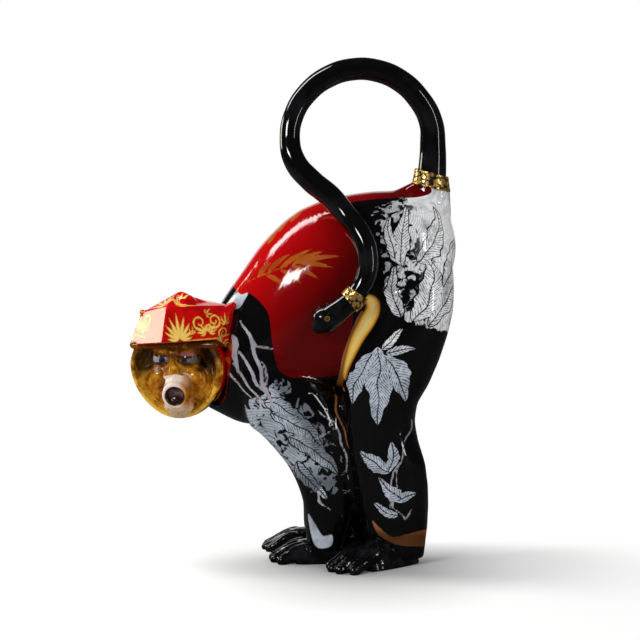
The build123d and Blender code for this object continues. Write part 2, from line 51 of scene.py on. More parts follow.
class Wire:
    """A value in a material. Sums on it add Math nodes, and node() adds any other kind."""

    def __init__(self, tree, socket=None):
        self.tree = tree
        self.socket = socket

    def node(self, kind, settings=None, sockets=None, out=0):
        """A new node; a Wire among its sockets' values is linked."""
        made = self.tree.nodes.new(kind)
        for name, value in (settings or {}).items():
            setattr(made, name, value)
        for name, value in (sockets or {}).items():
            if isinstance(value, Wire):
                self.tree.links.new(value.socket, made.inputs[name])
            else:
                made.inputs[name].default_value = value
        return Wire(self.tree, made.outputs[out])

    def feed(self, name, wire):
        """Drives one of the material's shader inputs."""
        shader = self.tree.nodes["Principled BSDF"]
        self.tree.links.new(wire.socket, shader.inputs[name])

    def calc(self, operation, *values, clamp=False):
        """A Math node on some values."""
        settings = {"operation": operation, "use_clamp": clamp}
        return self.node("ShaderNodeMath", settings, dict(enumerate(values)))

    def vector(self, operation, *values):
        """A Vector Math node on some values. A plain number comes from its second socket."""
        out = 1 if operation in ("LENGTH", "DOT_PRODUCT") else 0
        sockets = dict(enumerate(values))
        return self.node("ShaderNodeVectorMath", {"operation": operation}, sockets, out)

    def __add__(self, other):
        return self.calc("ADD", self, other)

    __radd__ = __add__

    def __sub__(self, other):
        return self.calc("SUBTRACT", self, other)

    def __rsub__(self, other):
        return self.calc("SUBTRACT", other, self)

    def __mul__(self, other):
        return self.calc("MULTIPLY", self, other)

    __rmul__ = __mul__

    def __truediv__(self, other):
        return self.calc("DIVIDE", self, other)

    def __abs__(self):
        return self.calc("ABSOLUTE", self)

    def below(self, edge, soft):
        """1 where the value is under an edge, 0 where it is over, with a soft step between."""
        gap = (edge - self) / soft
        return self.calc("ADD", gap, 0.5, clamp=True)

    def over(self, edge, soft):
        return 1 - self.below(edge, soft)

    def most(self, *others):
        """The largest of this value and some others."""
        top = self
        for other in others:
            top = self.calc("MAXIMUM", top, other)
        return top

    def strokes(self, pitch, share):
        """Lines drawn across the value: 1 on a line."""
        turn = self.calc("FRACT", self / pitch)
        return abs(turn - 0.5).below(share / 2, 0.16)

    def paint(self, under, over):
        """A colour that turns from under to over as this mask goes from 0 to 1."""
        return self.node(
            "ShaderNodeMix", {"data_type": "RGBA"}, {0: self, 6: under, 7: over}, out=2
        )

    def mottle(self, dark, middle, light):
        """Three glaze colours that run together as this value goes up."""
        ramp = self.node("ShaderNodeValToRGB", {}, {0: self})
        stops = ramp.socket.node.color_ramp.elements
        stops.new(0.50)
        for stop, place, colour in zip(stops, (0.32, 0.50, 0.68), (dark, middle, light)):
            stop.position = place
            stop.color = colour
        return ramp

    def ray(self, kind):
        """1 for rays of one kind."""
        return self.node("ShaderNodeLightPath", out=f"Is {kind} Ray")

    def __getitem__(self, name):
        """The number that store() keeps on each of the piece's vertices."""
        return self.node("ShaderNodeAttribute", {"attribute_name": name}, out=2)

    def spot(self):
        """The piece's own coordinates, in metres."""
        return self.node("ShaderNodeTexCoord", out="Object")

    def noise(self, scale, detail, roughness=0.5, distortion=0):
        """Cloudy noise in the piece's own coordinates."""
        return self.node("ShaderNodeTexNoise", {}, {
            "Vector": self.spot(), "Scale": scale, "Detail": detail,
            "Roughness": roughness, "Distortion": distortion,
        })

    def cells(self, scale):
        """The distance from the middle of the nearest cell."""
        return self.node("ShaderNodeTexVoronoi", {}, {"Vector": self.spot(), "Scale": scale})

    def bump(self, strength, depth):
        """A normal from this height."""
        return self.node(
            "ShaderNodeBump", {}, {"Strength": strength, "Distance": depth, "Height": self}
        )


def new_material(name, roughness=0.08):
    """A material with a plain glaze shader, and the wire to its nodes."""
    material = bpy.data.materials.new(name)
    material.use_nodes = True
    tree = material.node_tree
    shader = tree.nodes["Principled BSDF"]
    shader.inputs["Roughness"].default_value = roughness
    shader.inputs["IOR"].default_value = glaze_ior
    return material, Wire(tree)


scene = bpy.context.scene
scene.view_settings.view_transform = "Standard"

camera_data = bpy.data.cameras.new("camera")
camera_data.lens = 113.7
camera = bpy.data.objects.new("camera", camera_data)
scene.collection.objects.link(camera)
camera_target = Vector((0.0188, 0, 0.165))
camera_reach = 1.4
camera_rise = math.radians(6)
camera_heading = Vector((0, -math.cos(camera_rise), math.sin(camera_rise)))
camera.location = camera_target + camera_reach * camera_heading
camera.rotation_euler = (math.radians(90) - camera_rise, 0, 0)
scene.camera = camera


def lamp(name, place, aim, width, height, power, tint=(1, 1, 1)):
    """A soft lamp in metres and watts, turned to its aim."""
    data = bpy.data.lights.new(name, "AREA")
    data.shape = "RECTANGLE"
    data.size, data.size_y, data.energy = width, height, power
    data.color = tint
    made = bpy.data.objects.new(name, data)
    made.location = place
    made.rotation_euler = (Vector(aim) - Vector(place)).to_track_quat("-Z", "Y").to_euler()
    scene.collection.objects.link(made)


figure_middle = (0, 0, 0.18)
lamp("overhead_softbox", (-0.62, 0.18, 1.10), figure_middle, 0.22, 0.9, 10)
lamp("left_window", (-1.09, 0.52, 0.50), (-0.09, -0.04, 0.17), 0.38, 0.38, 4.5, (1, 0.97, 0.74))
lamp("front_window", (-0.98, -1.20, 0.83), figure_middle, 0.42, 0.20, 10)
lamp("side_strip", (1.05, -0.75, 0.45), figure_middle, 0.08, 0.8, 3.5)

world = bpy.data.worlds.new("studio")
world.use_nodes = True
scene.world = world
air = Wire(world.node_tree)
ambient = 0.42
dim_room = 0.028
wall_edge, wall_soft = 0.88, 0.08
# In reflections only the wall behind the figure is bright.
seen = air.ray("Camera").most(air.ray("Transmission"))
mirrored = air.ray("Glossy")
behind = air.vector("DOT_PRODUCT", air.node("ShaderNodeTexCoord", out="Generated"), (0, 1, 0))
mirror_level = dim_room + behind.over(wall_edge, wall_soft) * (1 - dim_room)
strength = seen + (1 - seen) * (mirrored * mirror_level + (1 - mirrored) * ambient)
background = world.node_tree.nodes["Background"]
background.inputs["Color"].default_value = (1, 1, 1, 1)
world.node_tree.links.new(strength.socket, background.inputs["Strength"])

bpy.ops.mesh.primitive_circle_add(vertices=96, radius=4, fill_type="NGON", location=(0, 0, 0))
floor = bpy.context.active_object
floor.name = "floor"
floor_material, paper = new_material("floor_white", roughness=0.9)
from_camera = paper.ray("Camera")
from_gloss = paper.ray("Glossy")
paper_white = (0.95, 0.95, 0.95, 1)
shadow_grey = (0.54, 0.54, 0.55, 1)
paper_in_mirror = (0.04, 0.04, 0.04, 1)
mirror_share, bounce_share = 0.02, 0.5
# The grey round the feet is a painted shadow, greyest in front of them and seen only by the
# camera.
feet_middle = (0.04, -0.055)
feet_squeeze = 1.15
from_feet = paper.vector(
    "MULTIPLY_ADD", paper.spot(), (feet_squeeze, 1, 1),
    (-feet_squeeze * feet_middle[0], -feet_middle[1], 0),
)
shadow_reach, shadow_soft = 0.07, 0.13
painted_shadow = paper.vector("LENGTH", from_feet).below(shadow_reach, shadow_soft)
paper_tone = (painted_shadow * from_camera).paint(paper_white, shadow_grey)
bounced = 1 - from_camera - from_gloss
paper_share = from_camera + from_gloss * mirror_share + bounced * bounce_share
paper.feed("Base Color", paper_share.paint(paper_in_mirror, paper_tone))
to_right = paper.node("ShaderNodeSeparateXYZ", {}, {0: paper.spot()}, out="X")
to_back = paper.node("ShaderNodeSeparateXYZ", {}, {0: paper.spot()}, out="Y")
outwards = paper.vector("LENGTH", paper.spot())
# Each white edge is a distance and the width of its soft step, in metres.
back_edge, right_edge, round_edge = (0.012, 0.07), (0.17, 0.16), (0.38, 0.34)
fade = to_back.over(*back_edge).most(to_right.over(*right_edge) * 0.8, outwards.over(*round_edge))
white_glow = paper.node("ShaderNodeEmission", {}, {"Strength": 1})
lit_paper = Wire(paper.tree, paper.tree.nodes["Principled BSDF"].outputs[0])
floor_end = paper.node(
    "ShaderNodeMixShader", {}, {0: fade * from_camera, 1: lit_paper, 2: white_glow}
)
paper.tree.links.new(floor_end.socket, paper.tree.nodes["Material Output"].inputs["Surface"])
floor.data.materials.append(floor_material)

# Body: the torso, arms and hind legs are hollow slip castings luted together and glazed
# over, so that no seam shows. Black glaze carries a red saddle, pale printed sprays and gold.


def pick(*pieces):
    """Selects pieces and nothing else, and makes the last one active."""
    bpy.ops.object.select_all(action="DESELECT")
    for piece in pieces:
        piece.select_set(True)
        bpy.context.view_layer.objects.active = piece


def cast_of(label, *names):
    """A joined copy of CAD pieces, its doubles merged."""
    parts = []
    for name in names:
        part = bpy.data.objects.new(label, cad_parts[name].data.copy())
        part.data.materials.clear()
        scene.collection.objects.link(part)
        parts.append(part)
    pick(*parts)
    if len(parts) > 1:
        bpy.ops.object.join()
    piece = bpy.context.view_layer.objects.active
    piece.name = label
    bpy.ops.object.mode_set(mode="EDIT")
    bpy.ops.mesh.select_all(action="SELECT")
    bpy.ops.mesh.remove_doubles(threshold=0.002 * MM)
    bpy.ops.object.mode_set(mode="OBJECT")
    return piece


def join(piece, *others):
    """Makes other pieces part of this one."""
    pick(*others, piece)
    bpy.ops.object.join()


def trim(piece, place, normal, above=True):
    """Cuts a piece at a plane, takes off what lies above it, or below, and closes it."""
    pick(piece)
    bpy.ops.object.mode_set(mode="EDIT")
    bpy.ops.mesh.select_all(action="SELECT")
    bpy.ops.mesh.bisect(
        plane_co=Vector(place) * MM, plane_no=normal, use_fill=True,
        clear_outer=above, clear_inner=not above,
    )
    bpy.ops.object.mode_set(mode="OBJECT")


def reskin(piece, voxel):
    """One closed skin over all that the piece holds."""
    pick(piece)
    piece.data.remesh_voxel_size = voxel * MM
    bpy.ops.object.voxel_remesh()


def work(piece, kind, **settings):
    """Applies one modifier to a piece."""
    pick(piece)
    tool = piece.modifiers.new("tool", kind)
    for name, value in settings.items():
        setattr(tool, name, value)
    bpy.ops.object.modifier_apply(modifier="tool")


def soften(piece, rounds):
    """Rubs a skin smooth."""
    work(piece, "SMOOTH", factor=0.5, iterations=rounds)


def swell(piece, reach):
    """Pushes a skin out along its normals, or in."""
    work(piece, "DISPLACE", strength=reach * MM, mid_level=0)


def fill(piece, voxel, *reaches):
    """Pushes a new skin out and back, which fills the creases between masses."""
    for reach in reaches:
        reskin(piece, voxel)
        swell(piece, reach)


def glaze(piece, material):
    """Smooth shading and a material for the whole piece."""
    pick(piece)
    bpy.ops.object.shade_smooth()
    piece.data.materials.clear()
    piece.data.materials.append(material)


def corners_of(piece):
    """The piece's vertices and their normals, the places in millimetres."""
    count = len(piece.data.vertices)
    places = np.empty(count * 3)
    piece.data.vertices.foreach_get("co", places)
    normals = np.empty(count * 3)
    piece.data.vertices.foreach_get("normal", normals)
    return places.reshape(-1, 3) / MM, normals.reshape(-1, 3)


def move_corners(piece, places):
    """Puts the piece's vertices at new places, in millimetres."""
    piece.data.vertices.foreach_set("co", (places * MM).ravel())
    piece.data.update()


def store(piece, name, values):
    """Keeps a number for each vertex, for the piece's material to read."""
    layer = piece.data.attributes.new(name, "FLOAT", "POINT")
    layer.data.foreach_set("value", np.asarray(values, float))


def rounded(points, steps=6):
    """A closed outline drawn smoothly through its points."""
    points = np.array(points, float)
    before, after, last = (np.roll(points, turn, 0) for turn in (1, -1, -2))
    rows = []
    for start, a, b, end in zip(before, points, after, last):
        for step in range(steps):
            t = step / steps
            rows.append(a + t * (b - start + t * (
                2 * start - 5 * a + 4 * b - end + t * (3 * (a - b) + end - start))) / 2)
    return np.array(rows)


def outside(u, v, outline):
    """How far points lie outside a closed outline, less than 0 inside it."""
    nearest = np.full(u.shape, 1e9)
    inside = np.zeros(u.shape, bool)
    for (au, av), (bu, bv) in zip(outline, np.roll(outline, -1, 0)):
        du, dv = bu - au, bv - av
        along = np.clip(((u - au) * du + (v - av) * dv) / (du * du + dv * dv + 1e-12), 0, 1)
        nearest = np.minimum(nearest, np.hypot(u - au - along * du, v - av - along * dv))
        if av != bv:
            inside ^= ((av > v) != (bv > v)) & (u < (v - av) / (bv - av) * du + au)
    return np.where(inside, -nearest, nearest)


def leaf_frame(u, v, base, tip, bend):
    """Places along and across a leaf that curves from its base to its tip."""
    du, dv = tip[0] - base[0], tip[1] - base[1]
    length = math.hypot(du, dv)
    along = ((u - base[0]) * du + (v - base[1]) * dv) / length
    across = ((v - base[1]) * du - (u - base[0]) * dv) / length
    share = np.clip(along / length, 0, 1)
    return along, across - 4 * bend * share * (1 - share), length


def leaf_outside(along, across, length, half_width, lobes=0, depth=0):
    """How far places lie outside a leaf whose edge may be lobed."""
    share = np.clip(along / length, 0, 1)
    half = half_width * np.sin(np.pi * share ** 0.75) ** 0.85
    if lobes:
        half = half * (1 - depth * (0.5 + 0.5 * np.cos(2 * np.pi * lobes * share)))
    beyond = np.maximum(-along, along - length)
    return np.maximum(np.abs(across) - half, beyond)


body = cast_of("body_skin", "torso", "left_arm", "right_arm", "left_hind_leg", "right_hind_leg")
# A plug above the belly's vent keeps the glaze skin out of the hollow inside.
vent_x = 21.65
plug_radius, plug_height, plug_rise = 4.2, 6, 7.5
vent = Vector((vent_x * MM, 0))
belly = min(
    corner.co.z for corner in body.data.vertices if (corner.co.xy - vent).length < 5 * MM
)
bpy.ops.mesh.primitive_cylinder_add(
    vertices=24, radius=plug_radius * MM, depth=plug_height * MM,
    location=(vent.x, 0, belly + plug_rise * MM),
)
join(body, bpy.context.active_object)
# The foot of the tail joins the body, so that the rump runs up into the tail.
root_top = 261
root_front = 72
tail_root = cast_of("tail_root", "tail")
trim(tail_root, (0, 0, root_top), (0, 0, 1))
trim(tail_root, (root_front, 0, 0), (1, 0, 0), above=False)
join(body, tail_root)


def lump(centre, radii, turn=(0, 0, 0)):
    """A rounded mass of clay at its place and size, in millimetres."""
    bpy.ops.mesh.primitive_uv_sphere_add(
        segments=40, ring_count=20, radius=MM, location=Vector(centre) * MM,
        rotation=[math.radians(angle) for angle in turn],
    )
    made = bpy.context.active_object
    made.scale = radii
    bpy.ops.object.transform_apply()
    return made


def roll(start, end, first, last, count=7):
    """A tapered roll of clay between two points, as a row of lumps."""
    start, end = Vector(start), Vector(end)
    return [
        lump(start.lerp(end, share), (first + (last - first) * share,) * 3)
        for share in np.linspace(0, 1, count)
    ]


shoulders = [lump((-14, side * 29.5, 140), (17, 10.5, 15)) for side in (-1, 1)]
throat = lump((-52.5, 1, 112.5), (8.5, 11, 6.5))
root_back = roll((97.2, 0, 257), (98.6, 0, 239), 10.6, 10.4, 5)
root_slope = roll((72, 0, 244), (87, 0, 256), 10, 6)
join(body, *root_slope, *shoulders, *root_back, throat)
fill(body, 1.3, 2.4, -2.2)
reskin(body, 1.32)
soften(body, 35)
swell(body, 0.3)
places, _ = corners_of(body)
chest_end, chest_run = 5, 40
chest_foot, chest_rise = 85, 15
sag_depth = 3.6
sag = np.clip((chest_end - places[:, 0]) / chest_run, 0, 1)
sag = sag * np.clip((places[:, 2] - chest_foot) / chest_rise, 0, 1)
places[:, 2] -= sag_depth * sag * sag * (3 - 2 * sag)
move_corners(body, places)

# The decoration is laid out flat, in millimetres, as the camera sees the near flank. The far
# side mirrors it, and behind the thighs it wraps round the rump.
places, normals = corners_of(body)
x, y, z = places.T
near = -np.abs(y)
print_plane = -40
camera_place = camera.location / MM
share = (print_plane - camera_place.y) / (near - camera_place.y)
flat_u = camera_place.x + (x - camera_place.x) * share
flat_v = camera_place.z + (z - camera_place.z) * share
wrap_start, wrap_radius = 70, 46
wrap_foot, wrap_rise = 100, 35
turned = wrap_start + wrap_radius * np.arctan2(x - wrap_start, np.maximum(np.abs(y), 0.5))
high = np.clip((z - wrap_foot) / wrap_rise, 0, 1)
art_u = np.where(x > wrap_start, flat_u + (turned - flat_u) * high, flat_u)
art_v = flat_v
outward = normals[:, 1] * np.sign(y)
bare_gap = 9.0


def flat_area(points):
    """How far the body's corners lie outside a smooth outline on the flat picture."""
    return outside(flat_u, flat_v, rounded(points))


saddle = flat_area([
    (-40.3, 196.2), (-34.1, 216.4), (-2.6, 249.8), (40.2, 271.2), (76.2, 276.5), (85.5, 265.9),
    (93.6, 255.9), (84.3, 251.8), (66.9, 251.2), (49.5, 249.8), (37.5, 245.8), (42.9, 228.4),
    (44.9, 215.7), (44.3, 200.9), (41, 182.7), (40.3, 165.1), (35, 148.2), (30.9, 133.3),
    (27.6, 131.2), (3.3, 129.9), (-4.8, 131.9), (-10.2, 138), (-13.5, 155), (-15.5, 171.9),
    (-20.8, 180.7), (-28.9, 187.4), (-34.9, 186.8),
])
lappet = flat_area([
    (-45.8, 163.8), (-41.1, 158.4), (-40.5, 147.5), (-42.6, 131.2), (-45.3, 116.2),
    (-50.1, 114.9), (-49.2, 148.9),
])
store(body, "saddle", np.minimum(saddle, lappet))
# The saddle's red is painted darker towards the lower right and the belly, as painted shade away
# from the lamps.
red_shade_middle, red_shade_width, red_shade_height = (5, 200), 75, 110
red_shade = 0.62 + (flat_u - red_shade_middle[0]) / red_shade_width - (flat_v - red_shade_middle[1]) / red_shade_height
store(body, "red_shade", np.clip(red_shade, 0, 1))

wobble_u = 0.7 * np.sin(art_v / 3.3 + 1) + 0.5 * np.sin(art_u / 2.7 + art_v / 5.1)
wobble_v = 0.7 * np.sin(art_u / 3.6 + 2) + 0.4 * np.sin(art_v / 2.4 - art_u / 4.3)
print_u, print_v = art_u + wobble_u, art_v + wobble_v


def strands_of(rows):
    """How far corners lie outside lines; a row is points and half widths, middle and ends."""
    nearest = np.full(x.shape, bare_gap)
    for points, middle, ends in rows:
        count = len(points) - 1
        for i in range(count):
            along, across, length = leaf_frame(print_u, print_v, points[i], points[i + 1], 0)
            share = np.clip(along / length, 0, 1)
            half = ends + (middle - ends) * np.sin(np.pi * ((i + share) / count) ** 0.8)
            gap = np.hypot(across, along - share * length)
            nearest = np.minimum(nearest, gap - half)
    return nearest


crescent = flat_area([
    (45.7, 184.7), (52.4, 186.8), (58.4, 182.7), (59.1, 174.6), (55.1, 165.1), (47.1, 153),
    (39, 136.7), (36.3, 128.5), (33.6, 131.2), (35, 142.1), (39, 157), (45.7, 170.6),
    (49.7, 178.7),
])
store(body, "gold", crescent)
ankle_fold = flat_area([
    (54.1, 32.5), (59.6, 27), (67.8, 20.8), (78.6, 22.9), (93.6, 25.6), (93.6, 15.3),
    (76, 14.6), (66.4, 17.3), (58.2, 22.9),
])
folds = strands_of([
    ([(47, 174.6), (39, 157), (34.3, 138.7), (30.9, 125.1)], 1.5, 0.9),
    ([(28.2, 124.4), (30.3, 106.7), (35, 93), (38.4, 82.1)], 0.8, 0.3),
    ([(36.3, 132.6), (32.3, 125.8), (35, 120.3)], 1.6, 0.6),
])
store(body, "fold", np.minimum(folds, ankle_fold))

laurel_stem = ((-32.9, 193.5), (4, 207.6))
laurel_leaves = [
    ((-22.8, 198.2), (-13.4, 208.3)), ((-16.1, 201.6), (-1.3, 213.7)), ((-8, 204.3), (13.4, 217)),
    ((0, 206.3), (21.5, 215.7)), ((4, 208.3), (33.5, 212.3)), ((4, 207.6), (28.2, 204.3)),
    ((0, 205.6), (18.8, 196.2)), ((-8, 202.9), (6.7, 193.5)), ((-17.4, 199.6), (-5.4, 192.2)),
    ((-44.5, 154.3), (-41.2, 147.5)), ((-45.9, 143.5), (-41.9, 139.4)),
    ((-46.6, 133.9), (-42.6, 131.2)), ((-48, 124.4), (-44, 123.1)), ((-9.3, 228.4), (0.1, 239.2)),
    ((-1.3, 235.1), (9.4, 244.5)), ((-16, 220.4), (-8, 231.1)),
]
laurel = np.full(x.shape, bare_gap)
for width, strokes in ((0.4, [laurel_stem]), (1.6, laurel_leaves)):
    for base, tip in strokes:
        gap = leaf_outside(*leaf_frame(flat_u, flat_v, base, tip, 1), width)
        laurel = np.minimum(laurel, gap)
store(body, "laurel", laurel)

# Pale print: a field on the rump, a patch on the arm, and bare spots at the wrist and nape.
field = outside(art_u, art_v, rounded([
    (53.6, 241.8), (62.9, 247.8), (74.9, 249.8), (88.8, 253.2), (101.3, 258.5), (123.6, 265.9),
    (137.7, 268.5), (137.7, 245.8), (137.7, 237.8), (137.7, 223.1), (137.7, 182.7),
    (119.1, 162.4), (102.1, 161.8), (87.9, 164.5), (75.3, 168.5), (69.2, 179.3), (63.1, 194.8),
    (59.7, 215.7), (56.3, 231.1),
]))
arm_patch = flat_area([
    (-31.2, 113.5), (-20.4, 117.6), (-10.9, 128.5), (-2.8, 127.1), (-0.1, 117.6), (8, 113.5),
    (17.4, 101.2), (25.6, 90.3), (32.3, 76.6), (37.1, 61.5), (39.2, 49.1), (32.4, 54.6),
    (26.9, 50.5), (20.2, 57.4), (13.4, 51.8), (9.3, 57.4), (2.5, 64.2), (-8.3, 72.5),
    (-20.5, 83.4), (-28.5, 97.8),
])
wrist = flat_area([
    (10.6, 36.7), (15.4, 29.8), (20.8, 21.5), (27, 22.2), (26.3, 14.6), (17.4, 13.2),
    (13.4, 20.1),
])
nape = flat_area([
    (-42.3, 180.7), (-37.6, 186.8), (-32.9, 191.5), (-29.5, 188.1), (-32.3, 182), (-35.6, 177.3),
    (-39.7, 176.6),
])
facing = outward > -0.3
pale_in = np.min([field, arm_patch, wrist, nape], axis=0)
store(body, "field", np.where(facing, pale_in, bare_gap))
store(body, "bare", np.where((wrist < 1) | (nape < 1), 1, 0))
# The fine lines sweep one way on the arm and another on the rump.
hatch = np.where(
    arm_patch < 1.5, 0.55 * print_u + 0.95 * print_v + 0.02 * (print_u + 10) ** 2,
    print_u * 0.9 - 0.35 * print_v + 4 * np.sin(print_v / 14),
)
store(body, "hatch", hatch)
rump_foot, rump_front = 145, 30
rump_left, rump_right = 91.2, 84
lower_arm, elbow_height = (-2.8, 109.4), 74
ankle_height, legs_front = 26, 45
blot_middle, blot_size = (79, 186), (13, 14)
store(body, "rump", np.clip((flat_v - rump_foot) / 10, 0, 1) * (art_u > rump_front))
on_field, on_arm = field < 2, arm_patch < 2
arm_across = 0.83 * (flat_u - lower_arm[0]) + 0.56 * (flat_v - lower_arm[1])
arm_dark = np.maximum((arm_across + 4) / 7, (elbow_height - flat_v) / 14)
arm_dark = np.clip(arm_dark, 0, 1) * on_arm
left_dark = np.clip((rump_left - art_u) / 34, 0, 1) * on_field
# Painted light: the rump's print is painted whiter towards the right, with fewer lines.
right_light = np.clip((art_u - rump_right) / 30, 0, 1) * on_field
blot_off = ((print_u - blot_middle[0]) / blot_size[0]) ** 2
blot_off += ((print_v - blot_middle[1]) / blot_size[1]) ** 2
low_dark = 0.6 * np.exp(-blot_off) * on_field
tone = np.sin(print_u / 5.5 + 2.2 * np.sin(print_v / 11)) * np.cos(print_v / 8 + 1.4)
darkness = (0.5 + 0.5 * tone) * 0.7 + left_dark * 0.6 + arm_dark * 0.5
store(body, "tone", np.clip(darkness + low_dark - right_light * 0.4, 0, 1))
# Painted shade: the print is darkened on the lower right side of the arm and at the foot of the
# legs, and more lightly towards the left of the rump.
leg_band = np.clip((ankle_height - flat_v) / 4, 0, 1) * (flat_u > legs_front)
store(body, "painted_shade", np.clip(0.78 * arm_dark + 0.35 * left_dark + leg_band, 0, 1))
store(body, "painted_light", right_light)

# Each leaf has a base, a tip, half its width and its bend. Where two overlap, the one that a
# place lies deeper in shows.
leaves = [
    ((72.6, 170.6), (69.8, 208.3), 5, 4), ((79.4, 167.9), (93.5, 216.4), 8.5, -5),
    ((89.3, 165.1), (128.8, 204.3), 7.5, 4), ((71.1, 208.3), (65.6, 241.8), 4.5, 3),
    ((73.8, 204.3), (84.6, 247.2), 7, 4), ((86.2, 208.3), (117.9, 245.8), 8, -4),
    ((98.5, 189.5), (137.7, 225.8), 6, 3), ((107.6, 166.5), (137.7, 188.1), 5, 2),
    ((75.8, 46.3), (59.5, 61.5), 4.5, 2), ((71.8, 35.3), (55.5, 43.6), 3.6, 1),
    ((66.2, 65.6), (45.9, 80.7), 5, 2), ((64.9, 65.6), (67.5, 87.6), 4, -2),
    ((70.4, 46.3), (83.9, 51.8), 3.5, -1), ((-20.4, 113.5), (9.3, 98.5), 6, 3),
    ((-13.6, 105.3), (22.9, 79.3), 7, 3.5), ((-2.9, 90.3), (32.4, 62.9), 6.5, 3),
    ((2.5, 72.5), (24.2, 47.7), 4.5, -2), ((61.9, 148.9), (74, 163.8), 3.2, 1),
    ((64.6, 147.5), (82.1, 148.9), 3.2, 1), ((61.9, 146.2), (76.2, 112.2), 7, 3),
    ((55.2, 146.2), (39.7, 112.2), 7, -3), ((58.5, 150.2), (57.3, 97.1), 9.4, 0.5),
]
leaf = np.full(x.shape, bare_gap)
vein = np.full(x.shape, bare_gap)
rib = np.zeros(x.shape)
for base, tip, width, bend in leaves:
    along, across, length = leaf_frame(print_u, print_v, base, tip, bend)
    gap = leaf_outside(along, across, length, width, lobes=5, depth=0.16)
    front = gap < np.minimum(leaf, 0.9)
    vein = np.where(front, across, vein)
    rib = np.where(front, along - 1.1 * np.abs(across), rib)
    leaf = np.where(front, gap, np.minimum(leaf, gap))
store(body, "leaf", np.where(facing, leaf, bare_gap))
store(body, "vein", vein)
store(body, "rib", rib)
strands = strands_of([
    ([(-41.1, 158.4), (-38.4, 150.2), (-37.2, 133.9)], 2.4, 0.8),
    ([(-33.7, 167.9), (-27, 155.7), (-23, 140.7), (-19, 123.1), (-13.6, 109.4)], 1.5, 0.6),
    ([(-31, 162.4), (-23, 151.6), (-13.5, 148.9), (-5.4, 153)], 0.7, 0.3),
    ([(-35.1, 147.5), (-27.1, 132.6), (-17.7, 117.6)], 1, 0.5),
    ([(-40.5, 139.4), (-29.8, 125.8), (-19, 112.2)], 0.9, 0.5),
    ([(-20.3, 142.1), (-16.3, 129.9), (-17.7, 116.2)], 0.8, 0.3),
    ([(-43.2, 133.9), (-32.5, 120.3), (-20.4, 109.4)], 0.6, 0.3),
    ([(75.7, 82.1), (71.7, 69.7), (66.3, 58.7), (67.7, 43.6), (63.7, 32.5)], 0.6, 0.3),
    ([(73, 72.5), (70.4, 56), (69.1, 42.2), (75.9, 32.5), (81.3, 39.4)], 0.5, 0.3),
    ([(81, 101.2), (78.3, 90.3), (75.7, 80.7)], 0.5, 0.3),
    ([(14.7, 56), (18.8, 46.3), (25.6, 39.4)], 0.7, 0.3),
    ([(13.4, 87.6), (25.6, 94.4)], 0.5, 0.3),
    ([(18.8, 108.1), (28.3, 98.5), (35, 80.7), (39.1, 60.1)], 0.6, 0.3),
])
store(body, "strand", np.where(facing, strands, bare_gap))

black_glaze = (0.0025, 0.0025, 0.003, 1)
red_glaze = (0.48, 0.002, 0.003, 1)
shaded_red = (0.095, 0.0006, 0.0008, 1)
pale_print = (0.50, 0.56, 0.64, 1)
white_print = (0.84, 0.85, 0.88, 1)
grey_print = (0.20, 0.22, 0.26, 1)
gilding = (1, 0.60, 0.10, 1)
gold_highlight = (1, 0.80, 0.30, 1)
shaded_gold_edge = (0.24, 0.08, 0.008, 1)
brown_gold = (0.20, 0.065, 0.012, 1)
copper = (0.34, 0.13, 0.06, 1)
shade_gold = (0.035, 0.012, 0.003, 1)
shade_print = (0.09, 0.10, 0.12, 1)
dark_strand, pale_strand = (0.26, 0.23, 0.28, 1), (0.52, 0.49, 0.54, 1)
dark_laurel, laurel_gold = (0.26, 0.055, 0.008, 1), (0.44, 0.13, 0.014, 1)
recess_shade = (0.012, 0.006, 0.004, 1)
soft_black = (0.010, 0.010, 0.012, 1)

body_material, ink = new_material("body_glaze")
cloud = ink.noise(60, 3)
grain = ink.noise(420, 4)
blot = ink.noise(150, 4, distortion=1.2)
bare = ink["bare"]
pale_in = (ink["field"] + (blot - 0.5) * 6 * (1 - bare)).below(0, 0.6)
leaf_gap = ink["leaf"] + (grain - 0.5) * 0.8
outline = abs(leaf_gap).below(0.38, 0.25)
midrib = abs(ink["vein"]).below(0.38, 0.3)
ribs = (ink["rib"] + (cloud - 0.5) * 1.5).strokes(2.3, 0.30) * grain.over(0.46, 0.12)
engraving = (ink["hatch"] + (cloud - 0.5) * 5).strokes(2, 0.42)
blots = (blot + ink["tone"] * 0.24).over(0.66, 0.07) * (1 - bare)
painted_shade = ink["painted_shade"]
painted_light = ink["painted_light"]
bright_print = ink["rump"].paint(pale_print, white_print)
# Painted light whitens the print towards the rump's right.
bright_print = (painted_light * 0.8).paint(bright_print, (1, 1, 1, 1))
wash_in = cloud.over(0.36, 0.3) * (0.55 + 0.45 * blot.over(0.40, 0.2))
# The wash turns to a dark grey where shade is painted.
wash = painted_shade.paint(wash_in.paint(grey_print, bright_print), shade_print)
inked = (engraving * 0.35).most(blots) * (1 - bare * 0.9) * (1 - painted_light * 0.6)
ground = pale_in.paint(black_glaze, inked.paint(wash, black_glaze))
drawn = midrib.most(ribs, outline * pale_in)
leafed = leaf_gap.below(0, 0.3).paint(ground, drawn.paint(wash, black_glaze))
leafed = (outline * pale_in).paint(leafed, black_glaze)
uneven = cloud.over(0.5, 0.3)
strand_in = (ink["strand"] + (grain - 0.5) * 1.1).below(0, 0.35)
stranded = (strand_in * 0.9).paint(leafed, uneven.paint(dark_strand, pale_strand))
fold_in = (ink["fold"] + (grain - 0.5) * 0.8).below(0, 0.5)
# The gold folds are painted dark brown where shade is painted, at the ankle.
fold_tone = (painted_shade * 0.75).paint(uneven.paint(brown_gold, copper), shade_gold)
